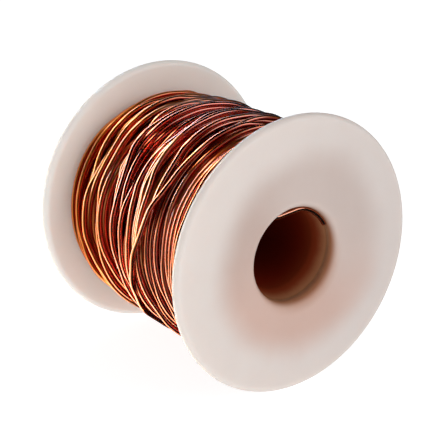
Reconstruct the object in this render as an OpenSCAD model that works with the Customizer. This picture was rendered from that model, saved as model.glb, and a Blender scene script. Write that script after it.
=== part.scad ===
// Small wire spool: a plastic bobbin, wound with one long enamelled copper wire.
// The axis lies along X, as the spool rests on the rims of its two flanges, and
// the origin is the middle of the bore. The start of the wire shows at the +X end.
// Millimetres.

/* [Bobbin] */
// Length over the outer faces of the two flanges
spool_length = 32.8; // [31:0.1:36]
// Diameter of the flanges
flange_d = 38; // [35:0.5:60]
// Thickness of a flange, whose rim is fully rounded
flange_t = 1.5; // [1.2:0.1:2]
// Inside diameter of the barrel, which turns on a spindle
bore_d = 11.5; // [10:0.1:11.5]
// Outside diameter of the barrel, which the first layer lies on
barrel_d = 14; // [13.6:0.1:14.4]

/* [Mouth and hub] */
// Diameter of the mouth in each flange, wider than the bore behind it
mouth_d = 13; // [12.8:0.1:13.2]
// Radius of the mouth's rounded edge
mouth_round = 1; // [0.5:0.1:1]
// Depth of the mouth, from the outer face to the end of the barrel
mouth_depth = 1.6; // [1.6:0.1:2]
// Length over which the end of the barrel narrows from the mouth to the bore
lead_in = 2.5; // [1.5:0.1:4]
// Height of the boss that holds the barrel, above the flange's inner face
boss_h = 0.9; // [0.6:0.1:1.2]
// Diameter of that boss
boss_d = 16.3; // [15.6:0.1:16.3]

/* [Wire] */
// Diameter of the wire over its enamel
wire_d = 0.68; // [0.6:0.01:0.68]
// Distance along the axis from one turn to the next
turn_pitch = 0.72; // [0.72:0.01:0.9]
// Rise from one layer to the next, whose turns lie in the grooves below
layer_rise = 0.59; // [0.59:0.01:0.62]
// Number of layers that reach from flange to flange
full_layers = 10; // [8:1:10]

/* [Hidden] */
$fn = 96;
gap = 0.05;
// where each layer of the crown begins and ends along X, from the lowest one up
crown_spans = [[-14.85, 13.4], [-14.85, 11.5], [-12.4, 8.6], [-9, 5], [-7, 1.6]];
layers = full_layers + len(crown_spans);
half_length = spool_length / 2;
inner_face = half_length - flange_t;
barrel_end = half_length - mouth_depth;
boss_face = inner_face - boss_h;
wire_r = wire_d / 2;

layer_nodes = [for (k = [1:layers]) str("wire_layer_", k < 10 ? "0" : "", k)];

plastic = [0.88, 0.84, 0.81];
barrel_plastic = [0.8, 0.74, 0.7];
copper = [0.74, 0.36, 0.16];
dark_copper = [0.55, 0.22, 0.1];

function smooth(t) = let (u = min(1, max(0, t))) u * u * (3 - 2 * u);

// ---- layers of the winding ----

// radius of the surface that layer k lies on
function layer_base(k) = barrel_d / 2 + (k - 1) * layer_rise;
// the lowest layers stop at the bosses, the next reach the flanges and the last make the crown
function layer_span(k) =
    k > full_layers ? crown_spans[k - full_layers - 1]
    : layer_base(k) < boss_d / 2 ? [-boss_face + gap, boss_face - gap]
    : [-inner_face + gap, inner_face - gap];
// every second layer is shifted by half a turn, so that its turns lie in the grooves
function turn_centres(k) =
    let (span = layer_span(k), first = -inner_face + gap + wire_r + (k % 2 == 0 ? turn_pitch / 2 : 0))
    [for (x = [first : turn_pitch : span[1] - wire_r]) if (x - wire_r >= span[0] - 0.001) x];
function last(list) = list[len(list) - 1];

// ---- wire that runs free of the layers ----

lead_x = barrel_end + wire_r + 0.02;
lead_z = 5.92;
lead_wall_r = mouth_d / 2 - wire_r - 0.02;
lead_wall_angle = asin(lead_z / lead_wall_r);
lead_end_angle = 27;
// the hole for the start of the wire: in at the first layer, out at the mouth
lead_hole_in = [boss_face - 0.1, -4.75, lead_z];
lead_hole_out = [lead_x, -2.6, lead_z];
// through the hole, straight across the top of the mouth, then round its wall
lead_route = concat(
    [for (t = [0.12 : 0.2 : 0.92]) lead_hole_in + t * (lead_hole_out - lead_hole_in)],
    [[lead_x - 0.02, lead_hole_out[1] + 0.15, lead_z]],
    [for (y = [-1.8 : 0.8 : 1]) [lead_x, y, lead_z]],
    [for (a = [lead_wall_angle : -6 : lead_end_angle])
        [lead_x, lead_wall_r * cos(a), lead_wall_r * sin(a)]]
);

// the last turn lies on the front slope of the crown, crosses its top steeply and ends behind
function finish_x(a) = 6.4 - 8 * smooth((a - 140) / 90) - 4 * smooth((a - 222) / 120);
crest_r = layer_base(layers) + wire_d + wire_r + 0.03;
function finish_r(x) = crest_r - layer_rise * (smooth((x - 1.4) / 2) + smooth((x - 4.5) / 2));
finish_route = [for (a = [60 : 5 : 350])
    let (x = finish_x(a)) [x, finish_r(x) * cos(a), finish_r(x) * sin(a)]];

// a round wire swept along points, as one closed mesh
tube_sides = 8;
function unit(v) = v / norm(v);
function tangent(path, i) =
    unit(path[min(i + 1, len(path) - 1)] - path[max(i - 1, 0)]);
function tube_ring(path, i) =
    let (
        t = tangent(path, i),
        radial = [0, path[i][1], path[i][2]],
        n = unit(radial - (radial * t) * t),
        b = cross(t, n)
    ) [for (s = [0 : tube_sides - 1])
        path[i] + wire_r * (cos(s * 360 / tube_sides) * n + sin(s * 360 / tube_sides) * b)];
module wire_tube(path) {
    rings = len(path);
    points = [for (i = [0 : rings - 1]) each tube_ring(path, i)];
    sides = [for (i = [0 : rings - 2]) for (s = [0 : tube_sides - 1])
        let (s2 = (s + 1) % tube_sides, a = i * tube_sides, b = a + tube_sides)
        [a + s, b + s, b + s2, a + s2]];
    start_cap = [for (s = [0 : tube_sides - 1]) s];
    end_cap = [for (s = [tube_sides - 1 : -1 : 0]) (rings - 1) * tube_sides + s];
    polyhedron(points, concat(sides, [start_cap, end_cap]), convexity = 6);
}

// turns an outline, drawn as [radius, x], about the X axis
module turned() {
    rotate([0, 90, 0]) rotate_extrude() children();
}

module drill(from, to, d) {
    way = to - from;
    translate(from)
        rotate([0, acos(way[2] / norm(way)), atan2(way[1], way[0])])
        cylinder(h = norm(way), d = d);
}

// room for the start of the wire, through the boss, the barrel's end and the mouth's wall
module lead_hole() {
    hole_d = wire_d + 0.3;
    drill(lead_hole_in - 0.4 * (lead_hole_out - lead_hole_in), lead_hole_out, hole_d);
    drill([lead_x, -4, lead_z], [lead_x, -1, lead_z], hole_d);
}

// ---- bobbin ----

module flange_profile() {
    mouth_r = mouth_d / 2;
    difference() {
        union() {
            translate([mouth_r, inner_face]) square([flange_d / 2 - flange_t / 2 - mouth_r, flange_t]);
            translate([flange_d / 2 - flange_t / 2, half_length - flange_t / 2]) circle(d = flange_t);
            translate([mouth_r, boss_face]) square([boss_d / 2 - mouth_r, boss_h + 0.1]);
        }
        // seat of the barrel
        translate([0, 0]) square([barrel_d / 2, barrel_end]);
        // rounded edge of the mouth
        difference() {
            translate([mouth_r - 1, half_length - mouth_round]) square([mouth_round + 1, mouth_round + 1]);
            translate([mouth_r + mouth_round, half_length - mouth_round]) circle(r = mouth_round);
        }
    }
}

module front_flange() color(plastic) difference() {
    turned() flange_profile();
    lead_hole();
}

module rear_flange() color(plastic) mirror([1, 0, 0]) turned() flange_profile();

// the barrel's wall, whose inside flares smoothly out to the mouth at each end
module barrel_profile() {
    flare = (mouth_d - bore_d) / 2;
    inside = [for (t = [0 : 0.1 : 1.001])
        [bore_d / 2 + flare * smooth(t), barrel_end - lead_in * (1 - t)]];
    polygon(concat(
        [[barrel_d / 2, -barrel_end], [barrel_d / 2, barrel_end]],
        [for (i = [len(inside) - 1 : -1 : 0]) inside[i]],
        [for (p = inside) [p[0], -p[1]]]
    ));
}

module barrel() color(barrel_plastic) difference() {
    turned() barrel_profile();
    lead_hole();
}

// ---- winding ----

// a layer with others over its whole length is a plain sleeve
module covered_layer(k) {
    span = layer_span(k);
    turned() translate([layer_base(k), span[0]]) square([layer_rise, span[1] - span[0]]);
}

// a layer that comes to the surface shows its turns there, and is plain under the next one
module open_layer(k) {
    xs = turn_centres(k);
    top = k == layers;
    next = top ? xs : turn_centres(k + 1);
    under = max(next[0], xs[0]);
    turned() translate([layer_base(k), 0]) {
        translate([0, xs[0]]) square([wire_r, last(xs) - xs[0]]);
        if (!top) translate([0, under]) square([layer_rise, min(last(next), last(xs)) - under]);
        for (x = xs) if (top || x < next[0] || x > last(next))
            translate([wire_r, x]) circle(d = wire_d);
    }
}

module wire_layer(k) color(k % 2 == 0 ? copper : dark_copper) {
    if (k < full_layers) covered_layer(k);
    else open_layer(k);
}

module start_lead() color(copper) wire_tube(lead_route);

module finish_turn() color(copper) wire_tube(finish_route);

barrel();
front_flange();
rear_flange();
for (k = [1 : layers]) wire_layer(k);
start_lead();
finish_turn();
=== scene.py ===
import math

import bpy
import numpy as np
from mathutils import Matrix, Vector


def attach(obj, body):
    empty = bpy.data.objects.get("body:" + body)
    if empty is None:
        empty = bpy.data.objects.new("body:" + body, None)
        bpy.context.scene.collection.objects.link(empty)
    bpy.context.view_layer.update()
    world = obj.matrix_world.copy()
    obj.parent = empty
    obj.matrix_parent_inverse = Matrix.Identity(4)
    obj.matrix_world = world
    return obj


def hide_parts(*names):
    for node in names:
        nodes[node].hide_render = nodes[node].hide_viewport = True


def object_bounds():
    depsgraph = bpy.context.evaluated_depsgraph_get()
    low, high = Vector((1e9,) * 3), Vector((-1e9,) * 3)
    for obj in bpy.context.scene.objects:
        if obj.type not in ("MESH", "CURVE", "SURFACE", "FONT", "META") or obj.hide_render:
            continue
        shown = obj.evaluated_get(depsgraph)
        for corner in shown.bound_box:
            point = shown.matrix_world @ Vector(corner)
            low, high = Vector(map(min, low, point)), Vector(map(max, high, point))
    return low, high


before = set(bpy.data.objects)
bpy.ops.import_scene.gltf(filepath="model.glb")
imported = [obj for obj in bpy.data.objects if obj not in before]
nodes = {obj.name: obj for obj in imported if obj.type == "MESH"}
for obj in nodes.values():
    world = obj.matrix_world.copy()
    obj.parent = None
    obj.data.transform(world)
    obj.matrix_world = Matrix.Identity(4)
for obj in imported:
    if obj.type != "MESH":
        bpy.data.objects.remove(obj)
cad_low, cad_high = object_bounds()
scene = bpy.context.scene
MM = 0.001

# ---- sizes: the first two are read from the CAD model, the others are as in part.scad ----
half_length = cad_high[0]
flange_r = cad_high[2]
flange_t = 1.5 * MM
inner_face = half_length - flange_t
wire_d = 0.68 * MM


# ---- node helpers ----
class Nodes:
    """A short way to build a node tree. A value is a number, a colour or another node's output."""

    def __init__(self, tree):
        self.tree = tree

    def put(self, value, target):
        if isinstance(value, bpy.types.NodeSocket):
            self.tree.links.new(value, target)
        else:
            target.default_value = value

    def node(self, kind, *values, **props):
        n = self.tree.nodes.new("ShaderNode" + kind)
        for key, value in props.items():
            setattr(n, key, value)
        for value, target in zip(values, n.inputs):
            self.put(value, target)
        return n

    def math(self, operation, *values):
        return self.node("Math", *values, operation=operation).outputs[0]

    def add(self, a, b):
        return self.math("ADD", a, b)

    def subtract(self, a, b):
        return self.math("SUBTRACT", a, b)

    def multiply(self, product, *values):
        for value in values:
            product = self.math("MULTIPLY", product, value)
        return product

    def absolute(self, value):
        return self.math("ABSOLUTE", value)

    def vector(self, operation, *values, output="Vector"):
        return self.node("VectorMath", *values, operation=operation).outputs[output]

    def remap(self, value, lo, hi, to_lo=0.0, to_hi=1.0, kind="SMOOTHSTEP"):
        n = self.node("MapRange", value, lo, hi, to_lo, to_hi, interpolation_type=kind)
        return n.outputs[0]

    def mix(self, factor, a, b, mode="MIX"):
        n = self.node("Mix", data_type="RGBA", blend_type=mode)
        for i, value in ((0, factor), (6, a), (7, b)):
            self.put((*value, 1.0) if isinstance(value, tuple) else value, n.inputs[i])
        return n.outputs[2]


class Material(Nodes):
    """A material with one principled shader. Its lengths are in metres."""

    def __init__(self, name):
        self.mat = bpy.data.materials.new(name)
        self.mat.use_nodes = True
        super().__init__(self.mat.node_tree)
        self.tree.nodes.clear()
        out = self.node("OutputMaterial")
        self.bsdf = self.node("BsdfPrincipled")
        self.put(self.bsdf.outputs[0], out.inputs["Surface"])

    def set(self, **values):
        for key, value in values.items():
            self.put(value, self.bsdf.inputs[key.replace("_", " ")])

    def coords(self):
        point = self.node("TexCoord").outputs["Object"]
        return point, *self.node("SeparateXYZ", point).outputs

    def radius(self, y, z, centre_y=0.0):
        y = self.subtract(y, centre_y)
        return self.math("SQRT", self.add(self.multiply(y, y), self.multiply(z, z)))

    def toward(self, y, z, r, part_y, part_z):
        """How far round the axis a point is to one side: 1 on that side and -1 opposite."""
        along = self.add(self.multiply(y, part_y), self.multiply(z, part_z))
        return self.math("DIVIDE", along, r)

    def noise(self, point, scale, detail=2.0, rough=0.5, stretch=None):
        if stretch:
            mapping = self.node("Mapping", point)
            mapping.inputs["Scale"].default_value = stretch
            point = mapping.outputs[0]
        n = self.node("TexNoise", point)
        n.inputs["Scale"].default_value = scale
        n.inputs["Detail"].default_value = detail
        n.inputs["Roughness"].default_value = rough
        return n.outputs["Fac"]

    def bump(self, height, strength, distance):
        n = self.node("Bump")
        n.inputs["Strength"].default_value = strength
        n.inputs["Distance"].default_value = distance
        self.put(height, n.inputs["Height"])
        self.put(n.outputs[0], self.bsdf.inputs["Normal"])


# ---- materials: each pair of colours is a darker and a lighter one, which noise mixes ----
PLASTIC = ((0.745, 0.675, 0.635), (0.785, 0.72, 0.68))
SHADED_TINT_HIGH = ((0.57, 0.44, 0.39), (0.61, 0.48, 0.43))
BOUNCE_LIT_TINT_LOW = ((0.67, 0.475, 0.405), (0.71, 0.515, 0.445))
SHADED_MOUTH_BROWN = (0.36, 0.16, 0.085)
BARREL_END, BARREL_NEAR, BARREL_DEEP_SHADE = (0.34, 0.15, 0.07), (0.16, 0.025, 0.008), (0.15, 0.012, 0.003)
PLASTIC_IOR = 1.45
REAR_LIT_COPPER = ((0.86, 0.24, 0.035), (1.0, 0.39, 0.075))
FRONT_SHADE = (0.60, 0.60, 0.66)
ENAMEL_ROUGHNESS = 0.22
# ranges of radius, depth below the outer face or height, in metres, over which a colour fades
TINT_R, TINT_DEPTH, TINT_SHADE_Z = (0.0105, 0.0155), (0.0004, 0.0012), (-0.008, 0.006)
MOUTH_R, MOUTH_DEPTH = (0.0066, 0.0078), (0.0, 0.0010)
BARREL_DEPTH_1, BARREL_DEPTH_2 = (0.0014, 0.0034), (0.003, 0.007)
OPEN_R = (0.0134, 0.0154)
# ranges of x for the winding, whose colour varies from the rear flange to the front one
REAR_X, REAR_COAT_X, FRONT_COAT_X, FRONT_SHADE_X = (-0.012, -0.002), (-0.013, 0.0), (0.003, 0.011), (0.002, 0.008)


def flange_material(name, dark_y=0.0, painted_light_lift=(1.0, 1.0, 1.0), shade=0.84):
    """Frosted plastic, tinted by the copper behind it, with painted shade where the winding stands behind
    it and painted light bounced from the copper at the bottom.
    """
    m = Material(name)
    point, x, y, z = m.coords()
    cloud = m.noise(point, 260.0, 4.0, 0.6)
    r = m.radius(y, z)
    depth = m.subtract(half_length, m.absolute(x))

    # the copper shows through the outer face, in a soft-edged disc that is weaker at the top, toward +Y;
    # the disc is also painted shade of the winding behind the plastic, darker at the top, and painted light
    # bounced from the copper, lighter and redder at the bottom
    wobble = m.multiply(m.subtract(m.noise(point, 70.0, 3.0), 0.5), 0.004)
    behind = m.remap(m.add(m.radius(y, z, dark_y), wobble), *TINT_R, 1.0, 0.0)
    behind = m.multiply(behind, m.remap(m.toward(y, z, r, -0.75, -0.66), -0.7, 0.3, 0.6, 1.0))
    behind = m.multiply(behind, m.remap(depth, *TINT_DEPTH, 1.0, 0.0))
    # painted light: the lift makes a lighter copy of the plastic, for the rear flange
    clear = m.mix(cloud, *(tuple(c * k for c, k in zip(colour, painted_light_lift)) for colour in PLASTIC))
    # painted shade at the top and painted light bounced from the copper at the bottom
    tinted_and_shaded = m.mix(m.remap(z, *TINT_SHADE_Z), m.mix(cloud, *BOUNCE_LIT_TINT_LOW), m.mix(cloud, *SHADED_TINT_HIGH))
    colour = m.mix(behind, clear, tinted_and_shaded)

    # painted shade: both flanges are painted a little darker toward +Y
    across = m.remap(y, -flange_r, flange_r, 0.0, 1.0, "LINEAR")
    colour = m.mix(across, colour, m.mix(1.0, colour, (shade, shade, shade + 0.01), "MULTIPLY"))

    # the mouth is brown, partly the copper through the plastic and partly painted shade where it turns into
    # the dark bore, and the brown reaches furthest out at the bottom, toward +Y
    bottom = m.math("MAXIMUM", m.toward(y, z, r, 0.45, -0.9), 0.0)
    inward = m.remap(m.subtract(r, m.multiply(bottom, 0.0007)), *MOUTH_R, 1.0, 0.0)
    mouth = m.multiply(inward, m.remap(m.add(depth, m.multiply(bottom, 0.0004)), *MOUTH_DEPTH))
    m.set(
        Base_Color=m.mix(mouth, colour, SHADED_MOUTH_BROWN),
        Roughness=m.remap(m.noise(point, 1500.0, 3.0), 0.3, 0.7, 0.40, 0.50),
        Subsurface_Weight=0.8,
        Subsurface_Radius=(1.0, 0.85, 0.78),
        Subsurface_Scale=0.002,
        IOR=PLASTIC_IOR,
    )
    fine = m.noise(point, 3000.0, 2.0)
    m.bump(m.add(m.multiply(cloud, 0.6), m.multiply(fine, 0.4)), 0.1, 0.0001)
    return m.mat


def barrel_material():
    """The same plastic, dark with the copper that lies on its outside, and painted darker deeper in the
    bore as painted shade.
    """
    m = Material("barrel_plastic")
    point, x, _, _ = m.coords()
    cloud = m.noise(point, 300.0, 3.0)
    wobble = m.multiply(m.subtract(cloud, 0.5), 0.0008)
    depth = m.add(m.subtract(half_length, m.absolute(x)), wobble)
    # painted shade: the bore's wall is darker the deeper it lies, besides the copper's colour through it
    colour = m.mix(m.remap(depth, *BARREL_DEPTH_1), BARREL_END, BARREL_NEAR)
    colour = m.mix(m.remap(depth, *BARREL_DEPTH_2), colour, BARREL_DEEP_SHADE)
    m.set(
        Base_Color=colour,
        Roughness=m.remap(cloud, 0.3, 0.7, 0.5, 0.6),
        IOR=PLASTIC_IOR,
        Specular_IOR_Level=0.0,
    )
    m.bump(cloud, 0.1, 0.0001)
    return m.mat


def copper_material(name, light, dark, deep, outer=0.0, gloss=1.0):
    """Drawn copper under amber enamel, painted redder and darker deep in the winding and between the turns,
    as painted shade and red light bounced between the turns.

    outer is 1 for the winding, whose colour varies along the axis, and 0 for other wire. gloss is the
    weight of the coat near the front flange.
    """
    m = Material(name)
    point, x, y, z = m.coords()
    along = m.noise(point, 60.0, 3.0, 0.6)
    turns = m.noise(point, 420.0, 2.0, 0.5, (1.0, 0.1, 0.1))
    tone = m.remap(m.add(m.multiply(along, 0.4), m.multiply(turns, 0.6)), 0.35, 0.65)

    # painted light: the turns near the rear flange are painted lighter and more golden
    rear = m.remap(x, *REAR_X, 1.0, 0.0)
    surface = m.mix(m.multiply(rear, outer), m.mix(tone, dark, light), m.mix(tone, *REAR_LIT_COPPER))

    # painted shade: the colour goes to the deep one where a wire faces the axis or lies low; the winding is
    # lower at both ends, where the open turns lie nearer to the axis
    outward = m.node("Attribute", attribute_name="outward").outputs["Fac"]
    open_r = m.add(m.radius(y, z), m.remap(m.absolute(x), 0.004, 0.012, 0.0, 0.0012))
    open_side = m.multiply(m.remap(outward, -0.05, 0.75), m.remap(open_r, *OPEN_R))
    colour = m.mix(open_side, deep, surface)

    # painted shade: the turns low on the front slope are painted darker and browner
    front = m.multiply(m.remap(x, *FRONT_SHADE_X), m.remap(z, 0.007, -0.003), outer)
    colour = m.mix(front, colour, m.mix(1.0, colour, FRONT_SHADE, "MULTIPLY"))

    rough = m.remap(turns, 0.3, 0.7, ENAMEL_ROUGHNESS * 0.8, ENAMEL_ROUGHNESS * 1.3)
    rear_coat = m.remap(x, *REAR_COAT_X, 0.35, 1.0)
    front_coat = m.remap(x, *FRONT_COAT_X, 1.0, gloss)
    m.set(
        Base_Color=colour,
        Metallic=1.0,
        Roughness=m.multiply(m.remap(x, *REAR_X, 1.5, 1.0), rough),
        Specular_Tint=(1.0, 0.5, 0.35, 1.0),
        Coat_Weight=m.multiply(rear_coat, front_coat),
        Coat_Roughness=0.03,
        Coat_IOR=2.4,
        Coat_Tint=(1.0, 0.78, 0.62, 1.0),
    )
    m.bump(m.add(m.noise(point, 2500.0, 2.0), along), 0.05, 0.00005)
    return m.mat


def paint(obj, mat):
    obj.data.materials.clear()
    obj.data.materials.append(mat)


# each copper's third colour is its painted shade, deep in the winding and between the turns
copper = copper_material(
    "enamelled_copper", (0.84, 0.27, 0.05), (0.68, 0.13, 0.02), (0.62, 0.012, 0.003), outer=1.0, gloss=0.55
)
copper_start = copper_material(
    "enamelled_copper_start", (0.80, 0.36, 0.17), (0.70, 0.26, 0.11), (0.70, 0.26, 0.11)
)
# painted shade: the hidden inner layers are a copy of the copper painted darker and redder
copper_inner_shaded = copper_material(
    "enamelled_copper_inner_shaded", (0.40, 0.06, 0.01), (0.3, 0.04, 0.01), (0.2, 0.015, 0.004)
)
paint(nodes["front_flange"], flange_material("front_flange_plastic", dark_y=0.0008))
# the rear flange's plastic is painted lighter, as painted light
paint(nodes["rear_flange"], flange_material("rear_flange_plastic", painted_light_lift=(1.15, 1.19, 1.19), shade=0.82))
paint(nodes["barrel"], barrel_material())
for name, obj in nodes.items():
    if name.startswith("wire_layer"):
        paint(obj, copper_inner_shaded)


# ---- the outer turns of the winding: lengths in mm, and angles in degrees from +Y toward +Z ----
STATIONS = 72  # points in one turn
GRID = 0.04  # step along the axis in the record of how high the winding is
HALF_WIDTH = 15.0  # how far along the axis that record reaches
FLOOR_R = 12.93  # just above wire_layer_10, which the first of these turns lie on
START_ANGLE = 185  # where the first turn begins
PITCH_SPREAD = 0.18
LEAST_PITCH = 0.72
# from x, to x and the mean pitch of each pass that the guide makes
PASSES = [
    (-14.5, 14.5, 1.5), (14.5, -14.5, 1.5), (-14.5, 11, 1.5),
    (11, -14.0, 1.5), (-14.0, 5.5, 1.5), (5.5, -10, 1.9),
]
# the ways in which the hand that guides the wire strays: how fast, per radian wound, and how far
STRAYS = ((0.31, 0.2), (0.71, 0.18), (1.27, 0.14), (2.1, 0.04))
# the outer radius that the winding is built up to along the axis: it is fullest behind the middle
CROWN = [
    (-14.9, 14.4), (-12.4, 14.9), (-9, 15.4), (-7, 15.7), (0.5, 15.6),
    (4.5, 15.0), (8.6, 14.3), (11.5, 13.8), (14.9, 12.9),
]
# the rear of the winding is fuller on one side
LEAN, LEAN_TOWARD = 0.6, 170
# the angles at which the last turn begins and ends, and the x of its first part
LAST_FROM, LAST_TO, LAST_X = 60, 350, 6.4

# how the wire is laid
LOOK_AHEAD = 18  # stations beyond the half turn that is laid at a time
OVERLAP = 10  # stations already laid, which the next half turn runs on from
SETTLINGS = 60
CROWN_PULL, GROOVE_PULL, GUIDE_PULL = 0.035, 0.015, 0.03
CROWN_PROBE, GROOVE_PROBE = 0.7, 0.05  # how far to each side a slope is felt
SOFTENINGS = 7
TAUTENINGS = 24


def smooth(t):
    t = np.clip(t, 0, 1)
    return t * t * (3 - 2 * t)


def wander(rng, t):
    """How the hand that guides the wire strays from an even traverse."""
    w = np.zeros(len(t))
    for often, far in STRAYS:
        swell = 0.6 + 0.4 * np.sin(0.113 * often * t + rng.uniform(0, 6.28))
        w += far * np.sin(often * t + rng.uniform(0, 6.28)) * swell
    return w


def traverse(rng, low, high):
    """Where along the axis the wire is guided at each station."""
    out = []
    for a, b, pitch in PASSES:
        sign = 1 if b > a else -1
        x = out[-1] if out else a
        while (b - x) * sign > 0:
            step = max(LEAST_PITCH, pitch * (1 + PITCH_SPREAD * rng.standard_normal()))
            for _ in range(STATIONS):
                x += sign * step / STATIONS
                if (b - x) * sign <= 0:
                    break
                out.append(x)
        out.append(b)
    out = np.array(out)
    out = np.clip(out + wander(rng, np.arange(len(out)) * 2 * math.pi / STATIONS), low, high)
    soft = np.hanning(9)
    return np.convolve(np.pad(out, 4, mode="edge"), soft / soft.sum(), mode="valid")


def add_last_turn(guide):
    """Adds the last turn: along the crown's front slope, then steeply over its top to the rear."""
    step = 360 // STATIONS
    # two turns and a part of one bring the wire from the rear to the front slope
    lead = (LAST_FROM - START_ANGLE - len(guide) * step) % 360 // step + 2 * STATIONS
    start = guide[-1] + (LAST_X - guide[-1]) * np.linspace(0, 1, lead + 1)[1:]
    # this is finish_x in part.scad
    a = np.arange(LAST_FROM, LAST_TO + 1, step, dtype=float)
    last = LAST_X - 8 * smooth((a - 140) / 90) - 4 * smooth((a - 222) / 120)
    return np.concatenate([guide, start, last])


def lay_wire(guide, d, low, high):
    """Lays the wire: it rests on what lies below, slides into grooves and stays taut."""
    turn = 2 * math.pi / STATIONS
    xs = np.arange(-HALF_WIDTH, HALF_WIDTH + GRID / 2, GRID)
    round_angle = np.radians(START_ANGLE + np.arange(STATIONS) * 360 / STATIONS - LEAN_TOWARD)
    lean = LEAN * np.cos(round_angle)[:, None] * np.clip((-6 - xs) / 6, 0, 1)[None, :]
    # the radius that the wire's centre would have at each station and x
    seat = FLOOR_R + d / 2 + np.maximum(lean, 0)
    reach = int(d / GRID) + 1
    crown = np.interp(xs, [c[0] for c in CROWN], [c[1] for c in CROWN])[None, :] + lean
    window = int(1.5 / GRID) | 1
    margin = ((0, 0), (window // 2 + 1, window // 2))
    n = len(guide)
    out_x, out_r = np.zeros(n), np.zeros(n)

    def height(station, x, field=seat):
        f = (x - xs[0]) / GRID
        j = np.clip(f.astype(int), 0, len(xs) - 2)
        f = f - j
        return field[station, j] * (1 - f) + field[station, j + 1] * f

    def slope(station, x, probe, field=seat):
        rise = height(station, x + probe, field) - height(station, x - probe, field)
        return np.clip(rise / (2 * probe), -1.0, 1.0)

    half, start = STATIONS // 2, 0
    while start < n:
        # the last few stations already laid stay as they are, so the wire runs on without a kink
        kept = min(start, OVERLAP)
        laid = slice(start - kept, start)
        idx = np.arange(start - kept, min(n, start + half + LOOK_AHEAD))
        station = idx % STATIONS
        x = guide[idx].copy()
        x[:kept] = out_x[laid]
        # how far above the crown each place is, averaged over the width of two turns
        over = np.pad(seat - crown, margin, mode="edge").cumsum(axis=1)
        full = (over[:, window:] - over[:, :-window]) / window
        for _ in range(SETTLINGS):
            # the wire is led to the emptier side, and slides into the nearest groove
            x = x - slope(station, x, CROWN_PROBE, full) * CROWN_PULL
            x = x - slope(station, x, GROOVE_PROBE) * GROOVE_PULL
            for _ in range(SOFTENINGS):
                x[:kept] = out_x[laid]
                x[1:-1] = 0.25 * x[:-2] + 0.5 * x[1:-1] + 0.25 * x[2:]
            x = np.clip(x + GUIDE_PULL * (guide[idx] - x), low, high)
            x[:kept] = out_x[laid]
        # a taut wire bridges the hollows: no point is nearer to the axis than a chord allows
        u = 1.0 / height(station, x)
        for _ in range(TAUTENINGS):
            u[:kept] = 1.0 / out_r[laid]
            u[1:-1] = np.minimum(u[1:-1], (u[:-2] + u[2:]) / (2 * math.cos(turn)))
        u[:kept] = 1.0 / out_r[laid]
        x, station, r = x[kept:], station[kept:], 1.0 / u[kept:]
        count = min(half, n - start)
        for k in range(count):
            centre = int(round((x[k] - xs[0]) / GRID))
            lo, hi = max(0, centre - reach), min(len(xs), centre + reach + 1)
            away = xs[lo:hi] - x[k]
            top = r[k] + np.sqrt(np.maximum(0, d * d - away * away))
            top = np.where(np.abs(away) < d, top, 0)
            seat[station[k], lo:hi] = np.maximum(seat[station[k], lo:hi], top)
        out_x[start:start + count], out_r[start:start + count] = x[:count], r[:count]
        start += count
    return out_x, out_r


def tube(name, points, radius, sides, material):
    """A round wire along points, with closed ends and smooth shading."""
    p = np.asarray(points)
    t = np.gradient(p, axis=0)
    t /= np.linalg.norm(t, axis=1)[:, None]
    radial = p * np.array([0.0, 1.0, 1.0])
    out = radial - (radial * t).sum(1)[:, None] * t
    out /= np.linalg.norm(out, axis=1)[:, None]
    side = np.cross(t, out)
    a = np.arange(sides) * 2 * math.pi / sides
    ring = np.cos(a)[None, :, None] * out[:, None, :] + np.sin(a)[None, :, None] * side[:, None, :]
    verts = (p[:, None, :] + radius * ring).reshape(-1, 3)
    n = len(p)
    i = np.arange(n - 1)[:, None] * sides
    s = np.arange(sides)[None, :]
    s2 = (s + 1) % sides
    quads = np.stack([i + s, i + s2, i + sides + s2, i + sides + s], axis=2).reshape(-1, 4)
    faces = quads.tolist()
    faces.append(list(range(sides))[::-1])
    faces.append([(n - 1) * sides + k for k in range(sides)])
    mesh = bpy.data.meshes.new(name)
    mesh.from_pydata(verts.tolist(), [], faces)
    mesh.polygons.foreach_set("use_smooth", [True] * len(mesh.polygons))
    mesh.materials.append(material)
    mesh.update()
    # how far each point faces away from the axis, which the copper's painted shade between the turns
    # follows
    outward = mesh.attributes.new("outward", "FLOAT", "POINT")
    outward.data.foreach_set("value", np.tile(np.cos(a), n).astype(np.float32))
    obj = bpy.data.objects.new(name, mesh)
    scene.collection.objects.link(obj)
    return obj


def refine(values, times):
    """Points between points, on a smooth curve."""
    n = len(values)
    new = np.arange((n - 1) * times + 1) / times
    i = np.clip(new.astype(int), 0, n - 2)
    f = new - i
    v = np.concatenate([[2 * values[0] - values[1]], values, [2 * values[-1] - values[-2]]])
    a, b, c, e = v[i], v[i + 1], v[i + 2], v[i + 3]
    square, cube = 2 * a - 5 * b + 4 * c - e, 3 * b - a - 3 * c + e
    return 0.5 * (2 * b + (c - a) * f + square * f * f + cube * f ** 3)


d_mm = wire_d / MM
limit = inner_face / MM - d_mm / 2 - 0.02
guide = add_last_turn(traverse(np.random.default_rng(8), -limit, limit))
wire_x, wire_r = lay_wire(guide, d_mm, -limit, limit)
angle = np.arange(len(wire_x)) * 2 * math.pi / STATIONS + math.radians(START_ANGLE)
wire_x, wire_r, angle = refine(wire_x, 2), refine(wire_r, 2), refine(angle, 2)
path = np.stack([wire_x, wire_r * np.cos(angle), wire_r * np.sin(angle)], axis=1) * MM
cut = len(path) // 2
# the lower half is mostly hidden, so it takes every second point and fewer sides
lower = tube("winding_lower", path[:cut + 1:2], wire_d / 2, 8, copper)
upper = tube("winding_upper", path[cut:], wire_d / 2, 10, copper)

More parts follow.
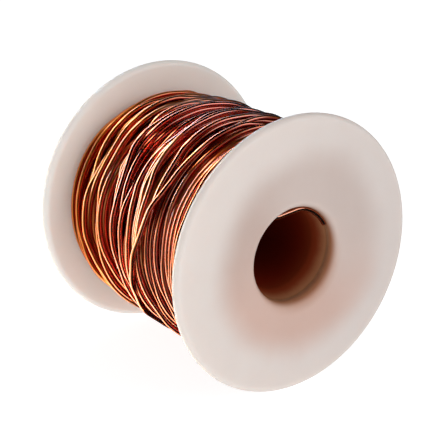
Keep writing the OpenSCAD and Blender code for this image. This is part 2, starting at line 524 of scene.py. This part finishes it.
# the start of the wire: out of its hole, straight across the top of the mouth and round its wall
lead_x, lead_z = 15.16, 5.92
wall_angle = np.radians(np.arange(72, 26, -5))
wall_r = np.linspace(6.14, 6.34, len(wall_angle))
route = [(13.9, -4.75, lead_z), (14.3, -4.07, lead_z), (14.7, -3.39, lead_z), (15.05, -2.8, lead_z - 0.2)]
route += [(lead_x, y, lead_z + 0.1 * (y - 0.9)) for y in (-2.2, -1.4, -0.6, 0.2, 1.0)]
route += [(lead_x, r * math.cos(a), r * math.sin(a)) for a, r in zip(wall_angle, wall_r)]
route = np.stack([refine(column, 4) for column in np.array(route).T], axis=1) * MM
lead = tube("start_wire", route, wire_d / 2, 16, copper_start)

for piece in (lower, upper, lead):
    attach(piece, "root")
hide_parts("wire_layer_13", "wire_layer_14", "wire_layer_15", "finish_turn")
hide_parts("wire_layer_11", "wire_layer_12")
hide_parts("start_lead")

# ---- floor ----
floor_mat = Material("floor")
floor_mat.set(
    Base_Color=(0.35, 0.35, 0.35, 1),
    Roughness=0.9,
    Specular_IOR_Level=0.0,
    Emission_Color=(1, 1, 1, 1),
    Emission_Strength=0.88,
)
bpy.ops.mesh.primitive_plane_add(size=6, location=(0, 0, cad_low[2]))
floor = bpy.context.object
floor.name = "floor"
paint(floor, floor_mat.mat)
floor.visible_glossy = False

# ---- the studio's light ----
WARM, COOL = (1.0, 0.80, 0.52), (0.85, 1.15, 1.6)
AMBIENT = 0.01
ROOM_GREY, ROOM_WHITE = (0.32, 0.32, 0.32), (1.0, 1.0, 1.0)

world = bpy.data.worlds.new("studio")
scene.world = world
world.use_nodes = True
# each kind of ray sees another sky below, which sampling the world as one light would mix up
world.cycles.sampling_method = "NONE"
w = Nodes(world.node_tree)
sky = w.node("TexCoord").outputs["Generated"]
east, north, height = w.node("SeparateXYZ", sky).outputs
level = w.vector("NORMALIZE", w.vector("MULTIPLY", sky, (1, 1, 0)))


def nearness(direction, point=sky):
    """How near a direction in the sky is to another, as a cosine."""
    return w.vector("DOT_PRODUCT", point, tuple(Vector(direction).normalized()), output="Value")


def cosine(degrees):
    return math.cos(math.radians(degrees))


# a long soft box overhead, along the spool's axis and a little in front of it
across = w.absolute(nearness((0, 1, 0.3)))
overhead = w.multiply(
    w.remap(across, 0.03, 0.14, 1, 0), w.remap(height, 0.3, 0.5), w.remap(east, 0.2, -0.5), 6.5
)
# a tall strip to the left, from the table upward
left = w.remap(nearness((-0.96, -0.28, 0), level), cosine(30), cosine(14))
strip = w.multiply(left, w.remap(height, 0.3, 0.55, 1, 0), 4.2)
# the bright table, to the left and in front of the spool
near = w.remap(nearness((-0.70, -0.70, 0), level), cosine(62), cosine(30))
table = w.multiply(near, w.remap(height, -0.02, 0.3, 1, 0), 1.1)
# a thin bright line that runs from the left of the table over the top to the back
thin = w.remap(w.absolute(w.add(east, 0.78)), 0.03, 0.09, 1, 0)
line = w.multiply(thin, w.remap(north, 0.5, 0.1, 0.1, 1), w.remap(height, -0.35, 0.2, 1.8, 10.5))
# a second one behind and to the right, above the far rim
thin = w.remap(w.absolute(w.add(east, -0.55)), 0.02, 0.05, 1, 0)
back = w.multiply(thin, w.remap(north, 0.25, 0.4), w.remap(height, 0.2, 0.35))
# a window in front and to the right, which the start of the wire shows
window = w.remap(nearness((0.74, 0.56, 0.36)), cosine(17), cosine(8), 0, 2.0)

warm = w.vector("MULTIPLY", w.add(w.add(strip, table), overhead), WARM)
cool = w.vector("MULTIPLY", w.add(line, back), COOL)
glow = w.vector("ADD", w.vector("ADD", warm, cool), w.add(window, AMBIENT))
# shiny things mirror these, plastic and floor are lit evenly, and the camera sees a pale room
ray = w.node("LightPath")
glow = w.mix(ray.outputs["Is Diffuse Ray"], glow, ROOM_GREY)
glow = w.mix(ray.outputs["Is Camera Ray"], glow, ROOM_WHITE)
background = w.tree.nodes["Background"]
w.put(glow, background.inputs["Color"])
background.inputs["Strength"].default_value = 1.0


def fill_light(name, place, size, watts):
    """A large soft lamp that lights the plastic and doesn't show in the wire."""
    data = bpy.data.lights.new(name, "AREA")
    data.shape, data.size, data.energy = "DISK", size, watts
    lamp = bpy.data.objects.new(name, data)
    scene.collection.objects.link(lamp)
    lamp.location = place
    lamp.rotation_mode = "QUATERNION"
    lamp.rotation_quaternion = Vector(place).to_track_quat("Z", "Y")
    lamp.visible_glossy = False


fill_light("fill_front", (0.26, 0.10, 0.16), 0.24, 0.36)
fill_light("fill_side", (0.12, -0.32, 0.12), 0.24, 0.3)
fill_light("fill_back", (-0.25, 0.15, 0.25), 0.3, 0.25)

# ---- camera, at the photograph's viewing angle ----
AZIMUTH, ELEVATION = math.radians(53.4), math.radians(20.98)
DISTANCE = 11.657 * flange_r
away = Vector((
    math.sin(AZIMUTH) * math.cos(ELEVATION),
    -math.cos(AZIMUTH) * math.cos(ELEVATION),
    math.sin(ELEVATION),
))
cam_data = bpy.data.cameras.new("camera")
cam_data.sensor_width = 36
cam_data.lens = 129.56
cam_data.shift_x, cam_data.shift_y = 0.00676, -0.00866
cam_data.clip_start, cam_data.clip_end = 0.01, 20
cam = bpy.data.objects.new("camera", cam_data)
scene.collection.objects.link(cam)
cam.location = away * DISTANCE
cam.rotation_mode = "QUATERNION"
cam.rotation_quaternion = away.to_track_quat("Z", "Y")
scene.camera = cam
scene.view_settings.view_transform = "Standard"
